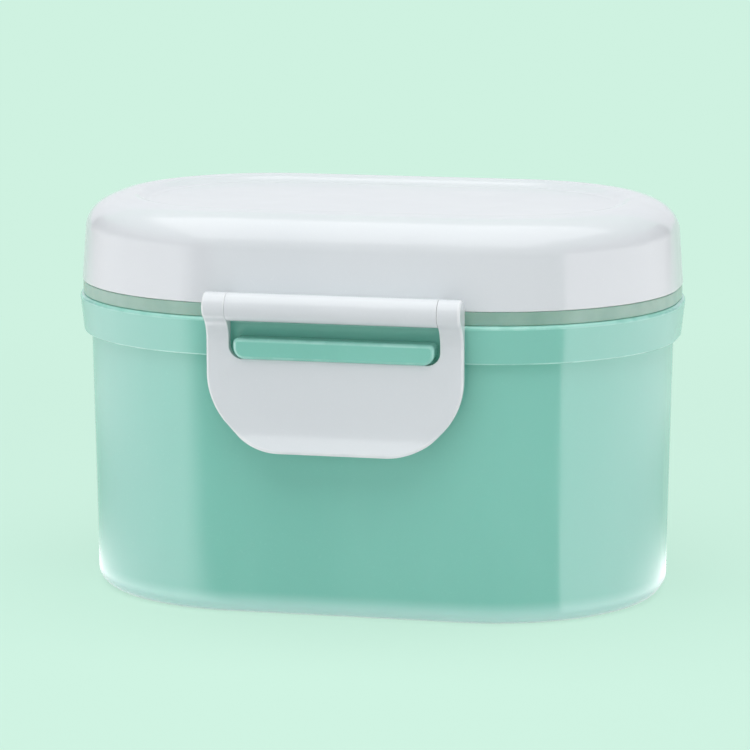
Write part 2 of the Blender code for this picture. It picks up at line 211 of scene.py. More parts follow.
def mouldedPlastic(look, marks, wearAndLight):
    made, tree, shader, place = newMaterial(look["name"])
    setValues(shader, look["values"])
    shader.inputs["Subsurface Radius"].default_value = look["scatter"]
    flow = place.noise(look["drift"], **marks["flow"])
    grain = place.noise(**marks["grain"])
    tone = flow.blend(*look["tones"])
    edge = place.add("ShaderNodeAttribute", {"attribute_name": "edge"}, {}, "Fac")
    height = place.part(2)
    # painted reflection: the outside of the foot and its sole turn paler, in patches, standing in for the
    # bright floor seen in the foot's rounding
    outside = planReach(place).ramp(*wearAndLight["outsideReach"])  # spares the floor inside
    soleGlow = 1 - height.ramp(*wearAndLight["soleGlowReach"])
    foot = soleGlow.calc("MAXIMUM", soleGlow, outside) * (1 - height.ramp(*wearAndLight["footGlowReach"]))
    foot = foot * (wearAndLight["footGlowLeast"] + (1 - wearAndLight["footGlowLeast"]) * place.noise(**marks["patches"]))
    # painted highlight: sharp outward edges turn paler in patches, and rougher as well
    edgeHighlightPatches = wearAndLight["edgeHighlightLeast"] + (1 - wearAndLight["edgeHighlightLeast"]) * place.noise(**marks["edgeHighlightPatches"])
    edgeHighlight = edge.ramp(*wearAndLight["edgeHighlightReach"]) * edgeHighlightPatches
    tone = edgeHighlight.blend((grain * wearAndLight["grainShare"]).blend(tone, look["speck"]), look["edgeHighlightTone"])
    feed(tree, shader, "Base Color", foot.blend(tone, look["foot"]))
    low, high = look["gloss"]
    rough = low + place.noise(**marks["handling"]) * (high - low)
    rough = rough + place.noise(**marks["hairlines"]) * look["hairs"]
    feed(tree, shader, "Roughness", rough + (edgeHighlight + foot) * wearAndLight["roughness"])
    feed(tree, shader, "Normal", place.noise(**marks["peel"]).bump(look["peel"]))
    return made


sealLook = {
    "tones": ((0.275, 0.462, 0.380, 1.0), (0.335, 0.522, 0.436, 1.0)),
    "gloss": (0.15, 0.26),
    "values": {"IOR": 1.43, "Subsurface Weight": 0.25, "Subsurface Scale": 0.002},
    "cloud": {"scale": 140.0, "detail": 3.0, "reach": (0.30, 0.70)},
    "bloom": {"scale": 420.0, "detail": 3.0},
    "skin": {"scale": 2600.0},
    "skinDepth": 0.000003,
}


def sealSilicone(look):
    # satin skin with a faint bloom of powder and cloudiness inside
    made, tree, shader, place = newMaterial("sealSilicone")
    setValues(shader, look["values"])
    feed(tree, shader, "Base Color", place.noise(**look["cloud"]).blend(*look["tones"]))
    low, high = look["gloss"]
    feed(tree, shader, "Roughness", low + place.noise(**look["bloom"]) * (high - low))
    feed(tree, shader, "Normal", place.noise(**look["skin"]).bump(look["skinDepth"]))
    return made


steelLook = {
    "tones": ((0.50, 0.51, 0.52, 1.0), (0.62, 0.63, 0.64, 1.0)),
    "gloss": (0.20, 0.36),
    "marks": {"scale": 9000.0, "detail": 3.0, "stretch": (0.02, 1.0, 1.0)},
    "markReach": (0.3, 0.7),
    "markDepth": 0.000002,
}


def drawnSteel(look):
    # draw marks run along the rod, which lies on X
    made, tree, shader, place = newMaterial("drawnSteel")
    setValues(shader, {"Metallic": 1.0})
    marks = place.noise(**look["marks"])
    feed(tree, shader, "Base Color", marks.ramp(*look["markReach"]).blend(*look["tones"]))
    low, high = look["gloss"]
    feed(tree, shader, "Roughness", low + marks * (high - low))
    feed(tree, shader, "Normal", marks.bump(look["markDepth"]))
    return made


mint = mouldedPlastic(mintLook, mouldMarks, mouldWearAndPaintedLight)
white = mouldedPlastic(whiteLook, mouldMarks, mouldWearAndPaintedLight)
silicone = sealSilicone(sealLook)
steel = drawnSteel(steelLook)
print("materials: mint and white mouldings, silicone, drawn steel")


def arcOf(center, radii, start, stop, steps):
    # center plus radii times the cosine and sine of evenly spaced angles, given in degrees
    angle = np.radians(np.linspace(start, stop, steps + 1))
    return np.stack([center[0] + radii[0] * np.cos(angle), center[1] + radii[1] * np.sin(angle)], 1)


def unit(vectors):
    return vectors / np.linalg.norm(vectors, axis=-1, keepdims=True)


def roundCorners(corners, steps=6):
    # each corner (a, b, radius) becomes the arc that touches both of its sides: the arc's middle lies on
    # the line that halves the corner, radius over the sine of the half angle away
    data = np.array(corners, float)
    point, radius = data[:, :2], data[:, 2:]
    before = unit(np.roll(point, 1, 0) - point)
    after = unit(np.roll(point, -1, 0) - point)
    half = np.arccos(np.clip((before * after).sum(1, keepdims=True), -1, 1)) / 2
    middle = point + unit(before + after + 1e-12) * radius / np.sin(half)
    first = point + before * radius / np.tan(half) - middle
    last = point + after * radius / np.tan(half) - middle
    turn = np.arctan2(first[:, 0] * last[:, 1] - first[:, 1] * last[:, 0], (first * last).sum(1))
    angle = np.arctan2(first[:, 1], first[:, 0])[:, None] + turn[:, None] * np.linspace(0, 1, steps + 1)
    made = middle[:, None] + radius[:, None] * np.stack([np.cos(angle), np.sin(angle)], -1)
    made = made.reshape(-1, 2)
    return made[np.linalg.norm(made - np.roll(made, 1, 0), axis=1) > 1e-6]


def fillRuns(points, near=0.3, step=4.0, closed=False):
    # keeps a profile's points, and adds one close to each end of a long run and more along it
    if closed:
        points = np.vstack([points, points[:1]])
    length = np.linalg.norm(np.diff(points, axis=0), axis=1)
    along = np.concatenate([[0.0], np.cumsum(length)])
    runs = length > 3 * near
    low = along[:-1][runs] + near
    high = along[1:][runs] - near
    count = np.maximum(np.round((high - low) / step).astype(int), 1)
    inner = [np.linspace(a, b, n + 1) for a, b, n in zip(low, high, count)]
    station = np.unique(np.concatenate([along, *inner]))
    made = np.stack([np.interp(station, along, points[:, k]) for k in (0, 1)], 1)
    return made[:-1] if closed else made


def loopNormals(loop):
    # outward normals of a closed outline, from the chord between each point's neighbours
    chord = unit(np.roll(loop, -1, 0) - np.roll(loop, 1, 0))
    after = np.roll(loop, -1, 0)
    area = (loop[:, 0] * after[:, 1] - loop[:, 1] * after[:, 0]).sum()
    return np.stack([chord[:, 1], -chord[:, 0]], 1) * np.sign(area)


def gridQuads(rows, cols, wrapRows=False, wrapCols=True):
    # the four corner numbers of each cell between neighbouring grid points
    index = np.arange(rows * cols).reshape(rows, cols)
    if wrapRows:
        index = np.vstack([index, index[:1]])
    if wrapCols:
        index = np.hstack([index, index[:, :1]])
    cells = [index[:-1, :-1], index[:-1, 1:], index[1:, 1:], index[1:, :-1]]
    return np.stack(cells, -1).reshape(-1, 4)


def gridShell(grid, wrapRows=False, wrapCols=True, caps=True):
    # points and faces of a grid of rows; the first and last row close as flat caps unless rows wrap
    rows, cols = grid.shape[:2]
    faces = gridQuads(rows, cols, wrapRows, wrapCols).tolist()
    if caps and not wrapRows:
        faces.append(list(range(cols))[::-1])
        faces.append(list(range((rows - 1) * cols, rows * cols)))
    return grid.reshape(-1, 3), faces


# metres within which points merge and slivers go, and the turn in degrees past which shading breaks
meshRules = {"merge": 2e-7, "sliver": 1e-7, "sharp": 38.0}


def readMesh(items, name, width=1, kind=float):
    # one property of all of a mesh's items as an array
    values = np.empty(len(items) * width, kind)
    items.foreach_get(name, values)
    return values.reshape(-1, width) if width > 1 else values


def markEdges(mesh):
    # each point keeps the sharpest outward turn of its edges: the angle between the two faces' normals over
    # the millimetres between their middles, and nothing where the faces turn inwards
    normal, middle = (readMesh(mesh.polygons, name, 3) for name in ("normal", "center"))
    owner = np.repeat(np.arange(len(mesh.polygons)), readMesh(mesh.polygons, "loop_total", 1, np.int32))
    edge = readMesh(mesh.loops, "edge_index", 1, np.int32)
    order = np.argsort(edge, kind="stable")
    paired = np.flatnonzero(edge[order][1:] == edge[order][:-1])
    one, two = owner[order][paired], owner[order][paired + 1]
    apart = (middle[two] - middle[one]) / mm
    angle = np.arccos(np.clip((normal[one] * normal[two]).sum(1), -1, 1))
    bend = np.where((normal[one] * apart).sum(1) < 0, angle / np.linalg.norm(apart, axis=1), 0.0)
    ends = readMesh(mesh.edges, "vertices", 2, np.int32)[edge[order][paired]]
    share = np.zeros(len(mesh.vertices))
    np.maximum.at(share, ends, bend[:, None])
    mesh.attributes.new("edge", "FLOAT", "POINT").data.foreach_set("value", share)


def shellMesh(name, points, faces):
    # one closed skin with its doubles merged and its faces turned outwards
    mesh = bpy.data.meshes.new(name)
    mesh.from_pydata((points * mm).tolist(), [], faces)
    work = bmesh.new()
    work.from_mesh(mesh)
    bmesh.ops.remove_doubles(work, verts=work.verts[:], dist=meshRules["merge"])
    bmesh.ops.dissolve_degenerate(work, edges=work.edges[:], dist=meshRules["sliver"])
    bmesh.ops.recalc_face_normals(work, faces=work.faces[:])
    work.to_mesh(mesh)
    work.free()
    return mesh


def uniteShells(name, shells):
    # the shells as one skin, with the walls inside the others cut away
    parts = [bpy.data.objects.new(name, shellMesh(name, *shell)) for shell in shells]
    for part in parts:
        bpy.context.scene.collection.objects.link(part)
    for part in parts[1:]:
        weld = parts[0].modifiers.new("weld", "BOOLEAN")
        weld.operation, weld.solver, weld.object = "UNION", "EXACT", part
    graph = bpy.context.evaluated_depsgraph_get()
    united = bpy.data.meshes.new_from_object(parts[0].evaluated_get(graph))
    for part in parts:
        bpy.data.meshes.remove(part.data)
    united.name = name
    return united


def makePiece(name, shells, finish, body, replaced=(), unite=False):
    # shells of points and faces become one object that rides on a body
    if unite:
        mesh = uniteShells(name, shells)
    else:
        starts = np.cumsum([0] + [len(points) for points, _ in shells]).tolist()
        faces = []
        for start, (_, own) in zip(starts, shells):
            faces += [[corner + start for corner in face] for face in own]
        mesh = shellMesh(name, np.concatenate([points for points, _ in shells]), faces)
    markEdges(mesh)
    mesh.shade_smooth()
    mesh.set_sharp_from_angle(angle=math.radians(meshRules["sharp"]))
    mesh.materials.append(finish)
    piece = bpy.data.objects.new(name, mesh)
    bpy.context.scene.collection.objects.link(piece)
    even = piece.modifiers.new("evenShading", "WEIGHTED_NORMAL")
    even.keep_sharp = True
    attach(piece, body)
    if replaced:
        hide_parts(*replaced)
    return piece


def boxPath(size):
    # centres and outward normals once round the box; a wall stands at centre plus its distance times normal
    signs = np.array([(1, 1), (-1, 1), (-1, -1), (1, -1)], float)
    corner = signs * (size["halfRun"], size["halfFlat"])
    cores, normals = [], []
    for quarter in range(4):
        angle = np.radians(np.linspace(quarter * 90, quarter * 90 + 90, size["turnSteps"] + 1))
        cores.append(np.repeat(corner[quarter : quarter + 1], len(angle), 0))
        normals.append(np.stack([np.cos(angle), np.sin(angle)], 1))
        share = np.linspace(0, 1, size["flatSteps" if quarter % 2 else "runSteps"] + 1)[1:-1, None]
        cores.append(corner[quarter] + (corner[(quarter + 1) % 4] - corner[quarter]) * share)
        normals.append(np.repeat(normals[-1][-1:], len(share), 0))
    return np.concatenate(cores), np.concatenate(normals)


pathCore, pathNormal = boxPath(planSize)


def carryRound(profile):
    # a wall section of (inset, height) points goes round the plan: centre plus radius and inset along normal
    inset, height = profile[:, 0], profile[:, 1]
    flat = pathCore[None] + (planSize["radius"] + inset)[:, None, None] * pathNormal[None]
    level = np.broadcast_to(height[:, None, None], flat.shape[:2] + (1,))
    return np.concatenate([flat, level], 2)


def halfDepth(x, inset):
    # half the plan's depth at a distance x from the middle
    radius = planSize["radius"] + inset
    past = np.maximum(0.0, np.abs(x) - planSize["halfRun"])
    return planSize["halfFlat"] + np.sqrt(radius**2 - past**2)


def barBetween(loop, low, high, edge, axis, bore=None, steps=5, runs=6):
    # an outline drawn out along one axis; towards both ends it shrinks along its normals on a quarter circle,
    # and a bore, where there is one, joins the two end faces
    turn = np.radians(np.linspace(0, 90, steps + 1))
    shrink = edge * (1 - np.sin(turn))
    rise = edge * (1 - np.cos(turn))
    middle = np.linspace(low + edge, high - edge, runs + 1)[1:-1]
    station = np.concatenate([low + rise, middle, high - rise[::-1]])
    inward = np.concatenate([shrink, np.zeros(len(middle)), shrink[::-1]])
    rings = loop[None] - inward[:, None, None] * loopNormals(loop)[None]
    if bore is not None:
        center, radius = np.array(bore[:2]), bore[2]
        hole = center + radius * unit(loop - center)
        rings = np.concatenate([hole[None], rings, hole[None]])
        station = np.concatenate([[low], station, [high]])
    along = np.broadcast_to(station[:, None, None], rings.shape[:2] + (1,))
    return gridShell(np.insert(rings, axis, along[..., 0], axis=2), wrapRows=bore is not None)


# container: foot ring, tapered wall, flared collar, neck and the hollow inside
containerSize = {
    "centre": -26.0,
    "recess": 0.8,
    "ring": (-12.2, -11.4),
    "wallFoot": -3.9,
    "wallTop": (-2.8, 61.35),
    "collarLow": -1.0,
    "ledge": 70.35,
    "neck": (-3.4, -5.0),
    "rim": 77.15,
    "floor": (-6.1, 3.0),
    "footRadius": 3.5,
    "floorRadius": 4.0,
    "recessEdge": 0.5,
    "ringEdge": 0.4,
    "stepFillet": 0.35,
    "collarLowEdge": 0.45,
    "collarTopEdge": 0.9,
    "neckFillet": 0.25,
    "rimEdge": 0.55,
}


def containerSection(size):
    # (inset, height, corner radius) from under the foot, up the outside, over the rim and down to the floor
    ringIn, ringOut = size["ring"]
    neckOut, neckIn = size["neck"]
    wallTop, collarFoot = size["wallTop"]
    corners = [
        (size["centre"], size["recess"], 0.0),
        (ringIn, size["recess"], size["recessEdge"]),
        (ringOut, 0.0, size["ringEdge"]),
        (size["wallFoot"], 0.0, size["footRadius"]),
        (wallTop, collarFoot, size["stepFillet"]),
        (size["collarLow"], collarFoot, size["collarLowEdge"]),
        (0.0, size["ledge"], size["collarTopEdge"]),
        (neckOut, size["ledge"], size["neckFillet"]),
        (neckOut, size["rim"], size["rimEdge"]),
        (neckIn, size["rim"], size["rimEdge"]),
        (size["floor"][0], size["floor"][1], size["floorRadius"]),
        (size["centre"], size["floor"][1], 0.0),
    ]
    return fillRuns(roundCorners(corners, 8))


keeperSize = {
    "half": 23.4,
    "low": 61.70,
    "high": 66.55,
    "front": -51.95,
    "root": -46.3,
    "lowerCorner": 2.69,
    "upperCorner": 1.2,
    "edge": 1.0,
}


def keeperBar(size):
    # rounded outline in X and Z drawn out along Y, with a rolled front edge
    half, low, high = size["half"], size["low"], size["high"]
    corners = [
        (-half, low, size["lowerCorner"]),
        (half, low, size["lowerCorner"]),
        (half, high, size["upperCorner"]),
        (-half, high, size["upperCorner"]),
    ]
    loop = fillRuns(roundCorners(corners, 8), near=0.3, step=3.0, closed=True)
    return barBetween(loop, size["front"], size["root"], size["edge"], 1)


containerSkins = [gridShell(carryRound(containerSection(containerSize))), keeperBar(keeperSize)]
makePiece(
    "containerShell", containerSkins, mint, "container", ("container_body",), unite=True
)

hingeSize = {
    "axis": (51.9, 73.85),
    "radius": 3.25,
    "bore": 1.1,
    "inner": 16.0,
    "outer": 24.0,
    "edge": 0.45,
}
lugSize = {"root": 45.3, "low": 61.75, "high": 69.45}


def lugOutline(size, hinge):
    # from the collar's foot along a tangent to the barrel, round it, and back down to the collar's top
    axisY, axisZ = hinge["axis"]
    radius = hinge["radius"]
    across = math.hypot(axisY - size["root"], axisZ - size["low"])
    base = math.atan2(size["low"] - axisZ, size["root"] - axisY)
    tangent = math.degrees(base + math.acos(radius / across))
    barrel = arcOf((axisY, axisZ), (radius, radius), tangent, 180, 40)
    ends = [(axisY - radius, size["high"]), (size["root"], size["high"]), (size["root"], size["low"])]
    return fillRuns(np.vstack([barrel, ends]), near=0.3, step=2.0, closed=True)


lugLoop = lugOutline(lugSize, hingeSize)
lugBore = (*hingeSize["axis"], hingeSize["bore"])
lugEnds = (hingeSize["inner"], hingeSize["outer"])
lugs = [
    barBetween(lugLoop, *ends, hingeSize["edge"], 0, lugBore)
    for ends in ((-lugEnds[1], -lugEnds[0]), lugEnds)
]
makePiece("hingeLugs", lugs, mint, "container")
print("container: shell, keeper bar and hinge lugs")

sealSize = {"inner": -3.1, "outer": -0.85, "low": 70.38, "high": 73.53, "edge": 0.25, "innerEdge": 0.2}


def sealSection(size):
    # rounded section of the ring, closed on itself
    corners = [
        (size["inner"], size["low"], size["innerEdge"]),
        (size["outer"], size["low"], size["edge"]),
        (size["outer"], size["high"], size["edge"]),
        (size["inner"], size["high"], size["innerEdge"]),
    ]
    return fillRuns(roundCorners(corners, 6), near=0.2, step=0.8, closed=True)


sealGrid = carryRound(sealSection(sealSize))
makePiece("sealBand", [gridShell(sealGrid, True)], silicone, "container", ("seal_ring",))
print("seal band")

# lid: drafted skirt, elliptical shoulder, crest and a shallow dish, with the same walls inside
lidSize = {
    "centre": -28.0,
    "skirt": -0.7,
    "low": 73.55,
    "crest": (-12.4, 93.85),
    "shoulder": (10.8, 8.1),
    "wall": 2.0,
    "dishDepth": 1.6,
    "dishRun": 5.2,
    "edge": 0.4,
}


def dishFall(crestInset, crestZ, depth, run, steps=20):
    # from the crest down to the dish's floor on the curve 10 t^3 - 15 t^4 + 6 t^5, which is flat at both ends
    share = np.linspace(0, 1, steps + 1)[1:]
    fall = share**3 * (10 - 15 * share + 6 * share**2)
    return np.stack([crestInset - run * share, crestZ - depth * fall], 1)


def lidSection(size):
    # from the dish's middle outwards over the shoulder, down the skirt and back along the inside
    crestInset, crestZ = size["crest"]
    wide, tall = size["shoulder"]
    wall, low, edge = size["wall"], size["low"], size["edge"]
    dish = dishFall(crestInset, crestZ, size["dishDepth"], size["dishRun"])
    ceiling = dishFall(crestInset, crestZ - wall, size["dishDepth"], size["dishRun"])
    shoulder = arcOf((crestInset, crestZ - tall), (wide, tall), 90, 0, 28)
    inside = arcOf((crestInset, crestZ - tall), (wide - wall, tall - wall), 0, 90, 20)
    outerLip = arcOf((size["skirt"] - edge, low + edge), (edge, edge), 0, -90, 6)
    innerLip = arcOf((size["skirt"] - wall + edge, low + edge), (edge, edge), -90, -180, 6)
    top = [(size["centre"], crestZ - size["dishDepth"])]
    under = [(size["centre"], crestZ - size["dishDepth"] - wall)]
    outer = [top, dish[::-1], shoulder, outerLip]
    return fillRuns(np.vstack(outer + [innerLip, inside, ceiling, under]))


lidGrid = carryRound(lidSection(lidSize))
makePiece("lidShell", [gridShell(lidGrid)], white, "lid", ("lid",))

barrelSize = {
    "root": 45.6,
    "web": 73.95,
    "half": 24.54,
    "knuckleHalf": 15.7,
    "edge": 0.08,
    "tilt": 10.0,
}


def barrelOutline(side, size, hinge):
    # round barrel with a web that falls away to the skirt, in Y and Z
    axisY, axisZ = hinge["axis"]
    radius = hinge["radius"]
    lowest = math.degrees(math.asin((size["web"] - axisZ) / radius))
    tilt = math.radians(size["tilt"])
    barrel = arcOf((axisY, axisZ), (radius, radius), 90 + size["tilt"], -180 - lowest, 44)
    run = axisY - radius * math.sin(tilt) - size["root"]
    webTop = axisZ + radius * math.cos(tilt) - run * math.tan(tilt)
    ends = [(size["root"], size["web"]), (size["root"], webTop)]
    return fillRuns(np.vstack([barrel, ends]), near=0.3, step=1.5, closed=True) * (side, 1.0)


barrels = (("latchBarrel", -1, barrelSize["half"]), ("hingeKnuckle", 1, barrelSize["knuckleHalf"]))
for pieceName, side, half in barrels:
    barrelBore = (side * hingeSize["axis"][0], hingeSize["axis"][1], hingeSize["bore"])
    barrelLoop = barrelOutline(side, barrelSize, hingeSize)
    barrel = barBetween(barrelLoop, -half, half, barrelSize["edge"], 0, barrelBore, runs=10)
    makePiece(pieceName, [barrel], white, "lid")

clipSize = {
    "inner": 4.8,
    "wall": 1.4,
    "low": 84.65,
    "base": 87.55,
    "root": 91.05,
    "long": 7.0,
    "places": (0.0, 20.0),
    "jawEdge": 0.5,
    "channelEdge": 0.3,
    "rootEdge": 0.1,
    "endEdge": 0.35,
}


def clipOutline(size):
    # channel open downwards, in Y and Z, with rounded jaws
    inner, outer = size["inner"], size["inner"] + size["wall"]
    low, base, root = size["low"], size["base"], size["root"]
    corners = [
        (-outer, low, size["jawEdge"]),
        (-inner, low, size["jawEdge"]),
        (-inner, base, size["channelEdge"]),
        (inner, base, size["channelEdge"]),
        (inner, low, size["jawEdge"]),
        (outer, low, size["jawEdge"]),
        (outer, root, size["rootEdge"]),
        (-outer, root, size["rootEdge"]),
    ]
    return fillRuns(roundCorners(corners, 5), near=0.2, step=1.5, closed=True)


clipLoop, clipHalf = clipOutline(clipSize), clipSize["long"] / 2
clips = [
    barBetween(clipLoop, place - clipHalf, place + clipHalf, clipSize["endEdge"], 0)
    for place in clipSize["places"]
]
makePiece("scoopClips", clips, white, "lid")
print("lid: shell, barrel, knuckle and clips")

# latch: a plate bent round a window, its ears rolled about the pivot and its foot turned out as a lip
latchSize = {
    "half": 29.95,
    "earInner": 24.6,
    "foot": 40.75,
    "corner": 17.5,
    "windowFoot": 61.65,
    "windowCorner": 3.0,
    "axis": (-51.9, 73.85),
    "knuckle": 3.25,
    "front": -50.65,
    "plate": 2.0,
    "fillet": 6.5,
    "lipHeight": 5.0,
    "lipRadius": 3.5,
    "lipTilt": 38.0,
    "edge": 0.6,
    "windowEdge": 0.2,
    "hollow": 0.30,
    "hollowIn": (3.0, 8.5),
    "hollowLow": (-2.0, 1.5),
    "hollowTop": (-5.0, -0.5),
    "rollSteps": 6,
    "probe": 0.001,
}


def lipReach(z, size, radius):
    # how far the lip stands out: an arc from upright to the lip's tilt, then straight on
    tilt = math.radians(size["lipTilt"])
    below = np.maximum(size["foot"] + size["lipHeight"] - z, 0)
    bent = np.minimum(below, radius * math.sin(tilt))
    return radius - np.sqrt(radius**2 - bent**2) + (below - bent) * math.tan(tilt)


def latchFront(z, size):
    # depth of the front face at a height: turned-out lip, plate, fillet, then the knuckle's round
    axisY, axisZ = size["axis"]
    knuckle, fillet = size["knuckle"], size["fillet"]
    filletY = size["front"] - fillet
    filletZ = axisZ - math.sqrt((knuckle + fillet) ** 2 - (filletY - axisY) ** 2)
    meetZ = axisZ + (filletZ - axisZ) * knuckle / (knuckle + fillet)
    lip = size["front"] - lipReach(z, size, size["lipRadius"])
    rolled = filletY + np.sqrt(fillet**2 - np.clip(z - filletZ, 0, fillet) ** 2)
    ear = axisY - np.sqrt(knuckle**2 - np.clip(z - axisZ, -knuckle, knuckle) ** 2)
    return np.where(z > meetZ, ear, np.where(z > filletZ, rolled, lip))


def latchBack(z, size):
    # depth of the back face at a height: the lip's back, the plate, then the knuckle's far half
    axisY, axisZ = size["axis"]
    lip = size["front"] + size["plate"] - lipReach(z, size, size["lipRadius"] + size["plate"])
    ear = axisY + np.sqrt(size["knuckle"] ** 2 - np.clip(z - axisZ, 0, size["knuckle"]) ** 2)
    return np.where(z > axisZ, ear, lip)


def latchPath(size):
    # the window's edge and the outer edge from one ear's top round to the other's, each as centres,
    # a distance and directions: edge = centre + distance * direction
    axisZ = size["axis"][1]
    inset = size["earInner"] - size["windowCorner"]
    outset = size["half"] - size["corner"]
    turnZ = size["windowFoot"] + size["windowCorner"]
    cornerZ = size["foot"] + size["corner"]
    ear = axisZ + size["knuckle"] * np.sin(np.radians(np.linspace(90, 0, 14)))
    ear = np.concatenate([ear, np.linspace(axisZ, turnZ, 16)[1:]])
    share = np.linspace(0, 1, 49)[1:]
    run = share * (turnZ - cornerZ + size["corner"] * np.pi / 2)
    bend = np.clip((run - turnZ + cornerZ) / size["corner"], 0, None)
    slide = 1 - np.linspace(0, 1, 19)[1:]
    zero = np.zeros(len(ear))
    innerAngle = np.concatenate([zero, share * np.pi / 2, np.full(len(slide), np.pi / 2)])
    outerAngle = np.concatenate([zero, bend, np.full(len(slide), np.pi / 2)])
    innerX = np.concatenate([zero - inset, np.full(len(share), -inset), -inset * slide])
    outerX = np.concatenate([zero - outset, np.full(len(share), -outset), -outset * slide])
    innerZ = np.concatenate([ear, np.full(len(share) + len(slide), turnZ)])
    outerZ = np.concatenate([ear, np.maximum(turnZ - run, cornerZ), np.full(len(slide), cornerZ)])
    made = []
    for x, z, angle in ((innerX, innerZ, innerAngle), (outerX, outerZ, outerAngle)):
        core = np.stack([x, z], 1)
        direction = np.stack([-np.cos(angle), -np.sin(angle)], 1)
        mirror = np.array([-1.0, 1.0])
        made.append(np.concatenate([core, core[-2::-1] * mirror]))
        made.append(np.concatenate([direction, direction[-2::-1] * mirror]))
    return made


def smoothShare(value, low, high):
    share = np.clip((value - low) / (high - low), 0, 1)
    return share * share * (3 - 2 * share)


def latchFace(size, depthOf, sign, hollow):
    # one face as rows from the window's edge to the outer edge: both edges roll off on a quarter circle,
    # the rows between are drawn straight across, and the plate's middle is slightly hollowed
    innerCore, innerWay, outerCore, outerWay = latchPath(size)
    innerEdge, outerEdge = size["windowEdge"], size["edge"]
    turn = np.radians(np.linspace(0, 90, size["rollSteps"] + 1))[:, None, None]
    innerRows = innerCore + (size["windowCorner"] + innerEdge * (1 - np.cos(turn))) * innerWay
    outerRows = outerCore + (size["corner"] - outerEdge * (1 - np.cos(turn[::-1]))) * outerWay
    share = np.concatenate([[0.04], np.linspace(0.1, 0.9, 15), [0.96]])[:, None, None]
    between = innerRows[-1] + (outerRows[0] - innerRows[-1]) * share
    flat = np.concatenate([innerRows, between, outerRows])
    sink = 1 - np.sin(turn[:, 0, 0])
    sink = np.concatenate([innerEdge * sink, np.zeros(len(share)), outerEdge * sink[::-1]])[:, None]
    x, z = flat[..., 0], flat[..., 1]
    top = size["axis"][1] + size["knuckle"]
    step = size["probe"]
    probe = np.minimum(z, top - 1.2 * step)
    slope = (depthOf(probe + step, size) - depthOf(probe - step, size)) / (2 * step)
    length = np.sqrt(1 + slope**2)
    y = depthOf(z, size)
    span = np.linalg.norm(outerRows[0] - innerRows[-1], axis=-1)
    rolled = np.zeros((len(turn), len(span)))
    fromEdge = np.concatenate([rolled + span, (1 - share[..., 0]) * span, rolled])
    low = size["foot"] + size["lipHeight"] + np.array(size["hollowLow"])
    high = size["windowFoot"] + np.array(size["hollowTop"])
    middle = smoothShare(fromEdge, *size["hollowIn"]) * smoothShare(z, *low)
    middle = middle * (1 - smoothShare(z, *high))
    y = y - sign * sink / length - sign * hollow * middle
    atTop = z > top - 1e-9  # front and back share the line along an ear's top
    y = np.where(atTop, size["axis"][0], y)
    return np.stack([x, y, np.where(atTop, top - sink, z + sign * slope * sink / length)], -1)


def latchShell(size):
    # front rows, outer wall, back rows and inner wall make one closed skin
    front = latchFace(size, latchFront, -1, size["hollow"])
    back = latchFace(size, latchBack, 1, 0.0)
    share = np.array([0.25, 0.5, 0.75])[:, None, None]
    outer = front[-1] + (back[-1] - front[-1]) * share
    inner = back[0] + (front[0] - back[0]) * share
    skin = np.concatenate([front, outer, back[::-1], inner])
    return gridShell(skin, wrapRows=True, wrapCols=False)


makePiece("latchPlate", [latchShell(latchSize)], white, "latch", ("front_latch",))
print("latch plate")

levellerSize = {
    "low": 34.0,
    "wide": 12.0,
    "under": 74.35,
    "top": 76.15,
    "lipWall": 1.6,
    "lipFoot": 71.35,
    "endInset": -4.4,
    "lipInset": -6.9,
    "edge": 0.4,
    "rows": 41,
}


def levellerBar(size):
    # an angle section in X and Z, drawn across the mouth between ends that follow the plan
    low, high = size["low"], size["low"] + size["wide"]
    lip = low + size["lipWall"]
    corners = [
        (low, size["lipFoot"], size["edge"]),
        (lip, size["lipFoot"], size["edge"]),
        (lip, size["under"], size["edge"]),
        (high, size["under"], size["edge"]),
        (high, size["top"], size["edge"]),
        (low, size["top"], size["edge"]),
    ]
    loop = fillRuns(roundCorners(corners, 5), near=0.25, step=1.5, closed=True)
    x, z = loop[:, 0], loop[:, 1]
    lipEnd, barEnd = (halfDepth(x, size[name]) for name in ("lipInset", "endInset"))
    reach = np.where(z < size["under"] - 0.1, lipEnd, barEnd)
    share = np.linspace(-1, 1, size["rows"])[:, None]
    return gridShell(np.stack(np.broadcast_arrays(x, share * reach, z), -1))


makePiece("levellerBar", [levellerBar(levellerSize)], white, "container", ("leveller",))

scoopSize = {
    "bowlX": -44.0,
    "radius": 14.0,
    "top": 87.25,
    "tall": 16.0,
    "taper": 2.2,
    "wall": 1.2,
    "corner": 2.0,
    "sides": 96,
    "root": -31.04,
    "tip": 29.0,
    "handleHalf": 4.5,
    "thick": 2.2,
    "groove": 0.7,
    "border": 1.6,
    "handleEdge": 0.5,
    "soft": 0.35,
    "rimEdge": 0.45,
}


def scoopBowl(size):
    # a cup section turned about its own upright axis: outside, rounded rim, inside
    foot = size["radius"] - size["taper"]
    low = size["top"] - size["tall"]
    wall = size["wall"]
    corners = [
        (1.0, low, 0.0),
        (foot, low, size["corner"]),
        (size["radius"], size["top"], size["rimEdge"]),
        (size["radius"] - wall, size["top"], size["rimEdge"]),
        (foot - wall, low + wall, size["corner"]),
        (1.0, low + wall, 0.0),
    ]
    section = fillRuns(roundCorners(corners, 7), near=0.3, step=2.0)
    angle = np.linspace(0, 2 * np.pi, size["sides"], endpoint=False)
    reach, height = section[:, :1], section[:, 1:]
    grid = [size["bowlX"] + reach * np.cos(angle), reach * np.sin(angle), height + 0 * angle]
    return gridShell(np.stack(grid, -1))


